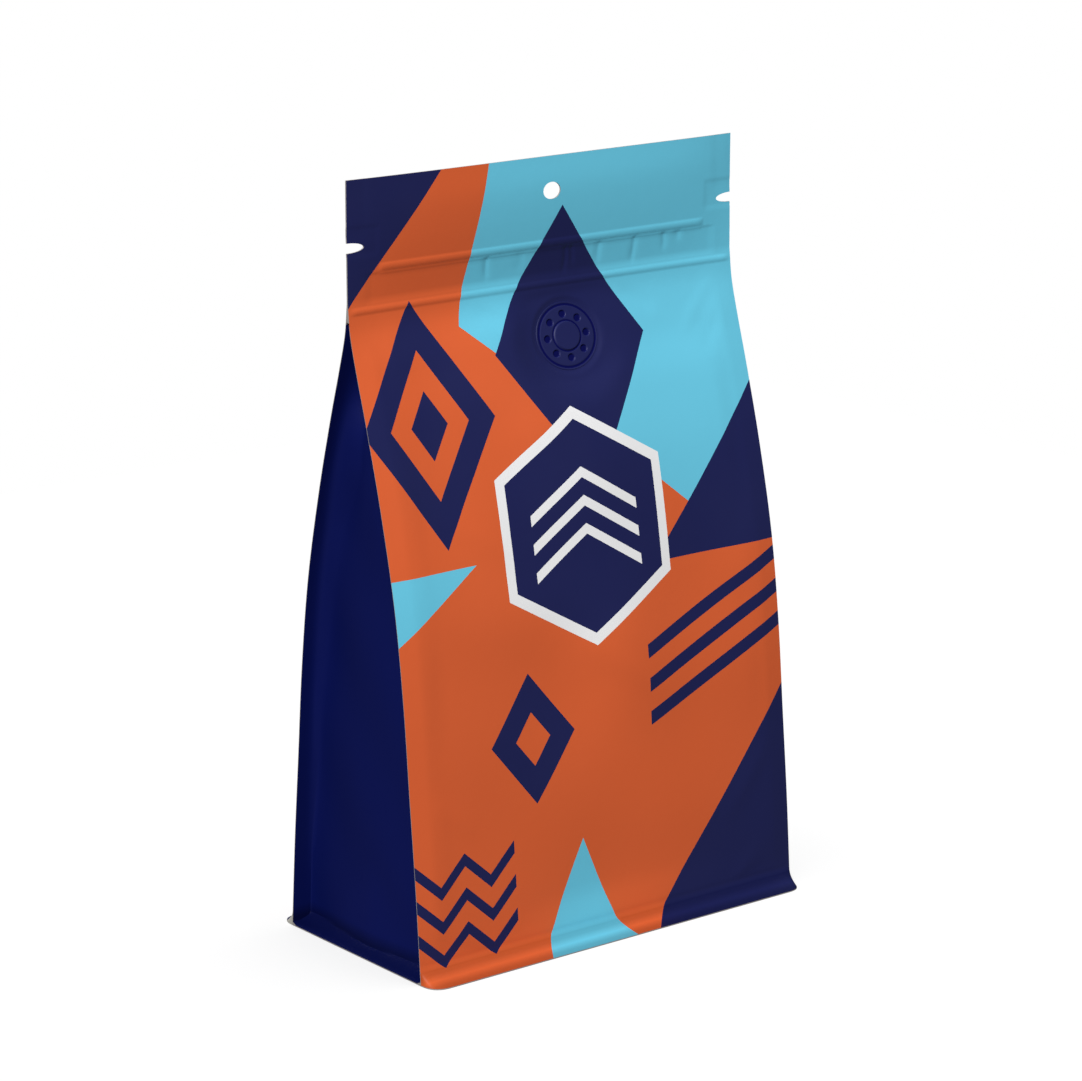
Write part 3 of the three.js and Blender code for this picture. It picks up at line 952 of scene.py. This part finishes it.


def printed_laminate(name, ground, layers):
    """Matt polypropylene laminate, printed in flat inks: even colour with crisp edges and a soft sheen. The
    lip's print is darkened with painted shade, most of all at its edge, and its crest is lightened again with
    a painted highlight."""
    material, tree = new_material(name)
    place = add(tree, "ShaderNodeAttribute", output="Vector", attribute_name="film_mm")
    colour = add(tree, "ShaderNodeRGB")
    colour.default_value = ground
    for layer_ink, shapes in layers:
        colour = lay(tree, colour, layer_ink, joined(tree, [shape(tree, place, one) for one in shapes]))
    height = dot(tree, place, (0, 1, 0))
    # painted shade: the print is darkened over the lip, and further towards its cut edge
    painted_seal_shade = graded(tree, height, WELD_LOW, WELD_HIGH, LIP_PAINTED_SHADE, 1)
    edge = graded(tree, height, EDGE_LOW, EDGE_HIGH, EDGE_PAINTED_SHADE, 1)
    # painted highlight: the print is lightened again along the lip's crest
    from_crest = calculate(tree, "ABSOLUTE", calculate(tree, "SUBTRACT", height, CREST))
    crest = graded(tree, from_crest, 0, CREST_REACH, CREST_PAINTED_HIGHLIGHT, 1)
    # the painted shade and painted highlight together, which scale the print's colour on the lip
    shade = calculate(tree, "MULTIPLY", calculate(tree, "MULTIPLY", painted_seal_shade, edge), crest)
    shine = graded(tree, height, WELD_LOW, WELD_HIGH, WELD_SHINE, FILM_SHINE)
    finish_skin(tree, dimmed(tree, colour, shade), FILM_ROUGHNESS, shine)
    return material


def plain_film(name, colour, roughness, specular, bump_mm=0.03, grain_mm=4.0):
    """The skin over a single colour."""
    material, tree = new_material(name)
    finish_skin(tree, colour, roughness, specular, bump_mm, grain_mm)
    return material


def gusset_film(name, colour, roughness, specular):
    """The gussets' laminate, in one dark ink. Its foot, at the base seal, is darkened with painted shade."""
    material, tree = new_material(name)
    place = add(tree, "ShaderNodeTexCoord", output="Object")
    height = dot(tree, place, (0, 0, 1))
    # painted shade: the ink is darkened at the gusset's foot, fading out upwards
    painted_seal_shade = graded(tree, height, GUSSET_WELD_LOW * MM, GUSSET_WELD_HIGH * MM, GUSSET_FOOT_PAINTED_SHADE, 1)
    finish_skin(tree, dimmed(tree, colour[:3], painted_seal_shade), roughness, specular)
    return material


FILMS = [
    printed_laminate("matt_laminate_front_print", ORANGE, FRONT_LAYERS),
    printed_laminate("matt_laminate_back_print", ORANGE, BACK_LAYERS),
    gusset_film("matt_laminate_gusset_ink", GUSSET_NAVY, 0.5, 0.12),
    # the laminate's layers seen end on, which draw a thin warm grey line along every cut edge
    plain_film("cut_edge_of_film_layers", ink("#8f8a88"), 0.6, 0.3, 0.01, 1.0),
    # film without print: an even warm grey with a soft sheen
    plain_film("polyethylene_base_film", ink("#a3a19a"), 0.5, 0.3),
]
for film_material in FILMS:
    pouch.data.materials.append(film_material)
# the moulded disc: the same navy, rougher and less glossy than the film round it
valve.data.materials.append(plain_film("moulded_polyethylene_valve", NAVY, 0.62, 0.3, 0.01, 1.5))
# painted shade: a darker ink on the faces down in its vents and grooves, with next to no shine
valve.data.materials.append(plain_film("painted_shade_in_valve_vents", ink("#090c48"), 0.7, 0.05, 0.01, 1.5))
print([film_material.name for film_material in FILMS])

# %% [markdown]
# ## Join the pieces to the frame
# Each piece stands for a CAD node and moves with the part's one body.

# %% Ride and replace
for piece, node, slot in [(pouch, "pouch", "printed_film"), (valve, "valve", "valve_face")]:
    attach(piece, "root")
    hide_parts(node)

# %% [markdown]
# ## Light and floor
# White paper, a large soft key light high on the left, one behind for the back, and a card behind on the
# right, as a small product studio has. These three light the pouch alone, by light linking, and only the key
# shines in it. The paper glows by itself, and two lamps of its own, high up to the right and to the left,
# bring it to white, so that the pouch casts a short faint shadow to each side and none in front.


# %% The studio
LIT_Z = 0.12  # metres: the height that the lights look at
ROOM_LIGHT = 0.1  # what the white room gives, while the camera sees it at full white
FLOOR_REACH, PAPER_GREY, PAPER_GLOW = 0.6, 0.3, 0.785


def soft_light(name, azimuth, elevation, distance, size, power, receivers):
    """A square area light that looks at the pouch's middle and lights one collection alone: angles in
    degrees, lengths in metres, power in watts."""
    away = direction(np.radians(azimuth), np.radians(elevation))
    data = bpy.data.lights.new(name, "AREA")
    data.size, data.energy = size, power
    light = put(name, data)
    light.location = Vector((0, 0, LIT_Z)) + distance * away
    light.rotation_euler = away.to_track_quat("Z", "Y").to_euler()
    light.light_linking.receiver_collection = receivers
    return light


pouch_only, paper_only = (bpy.data.collections.new(name) for name in ("pouch_only", "paper_only"))
for piece in (pouch, valve):
    pouch_only.objects.link(piece)
soft_light("key", -52, 42, 4, 1.4, 223, pouch_only)
back_light = soft_light("back_light", 185, 35, 4, 2.0, 112, pouch_only)
card = soft_light("card", 112, 46, 3, 2.4, 60, pouch_only)
back_light.visible_glossy = card.visible_glossy = False
soft_light("paper_lamp_right", 52, 80, 3, 1.5, 42, paper_only)
soft_light("paper_lamp_left", -95, 80, 3, 1.5, 34, paper_only)

world = bpy.data.worlds.new("studio")
bpy.context.scene.world = world
world.use_nodes = True
world.node_tree.nodes.clear()
seen = add(world.node_tree, "ShaderNodeLightPath", output="Is Camera Ray")
strength = graded(world.node_tree, seen, 0, 1, ROOM_LIGHT, 1)
room = add(world.node_tree, "ShaderNodeBackground", {"Color": (1, 1, 1, 1), "Strength": strength})
add(world.node_tree, "ShaderNodeOutputWorld", {"Surface": room})

floor_mesh = bpy.data.meshes.new("floor")
floor_corners = [(FLOOR_REACH * x, FLOOR_REACH * y, 0) for x, y in ((-1, -1), (1, -1), (1, 1), (-1, 1))]
floor_mesh.from_pydata(floor_corners, [], [(0, 1, 2, 3)])
floor = put("floor", floor_mesh)
# dull paper with a glow of its own: white all over, and still soft grey where the pouch shades it
paper, paper_tree = new_material("white_backdrop_paper")
paper_skin = add(paper_tree, "ShaderNodeBsdfPrincipled",
                 {"Base Color": (*[PAPER_GREY] * 3, 1), "Roughness": 0.9, "Specular IOR Level": 0.0,
                  "Emission Color": (1, 1, 1, 1), "Emission Strength": PAPER_GLOW}, "BSDF")
add(paper_tree, "ShaderNodeOutputMaterial", {"Surface": paper_skin})
floor_mesh.materials.append(paper)
floor.visible_diffuse = floor.visible_glossy = False
paper_only.objects.link(floor)

bpy.context.scene.view_settings.view_transform = "Standard"
print("studio ready")
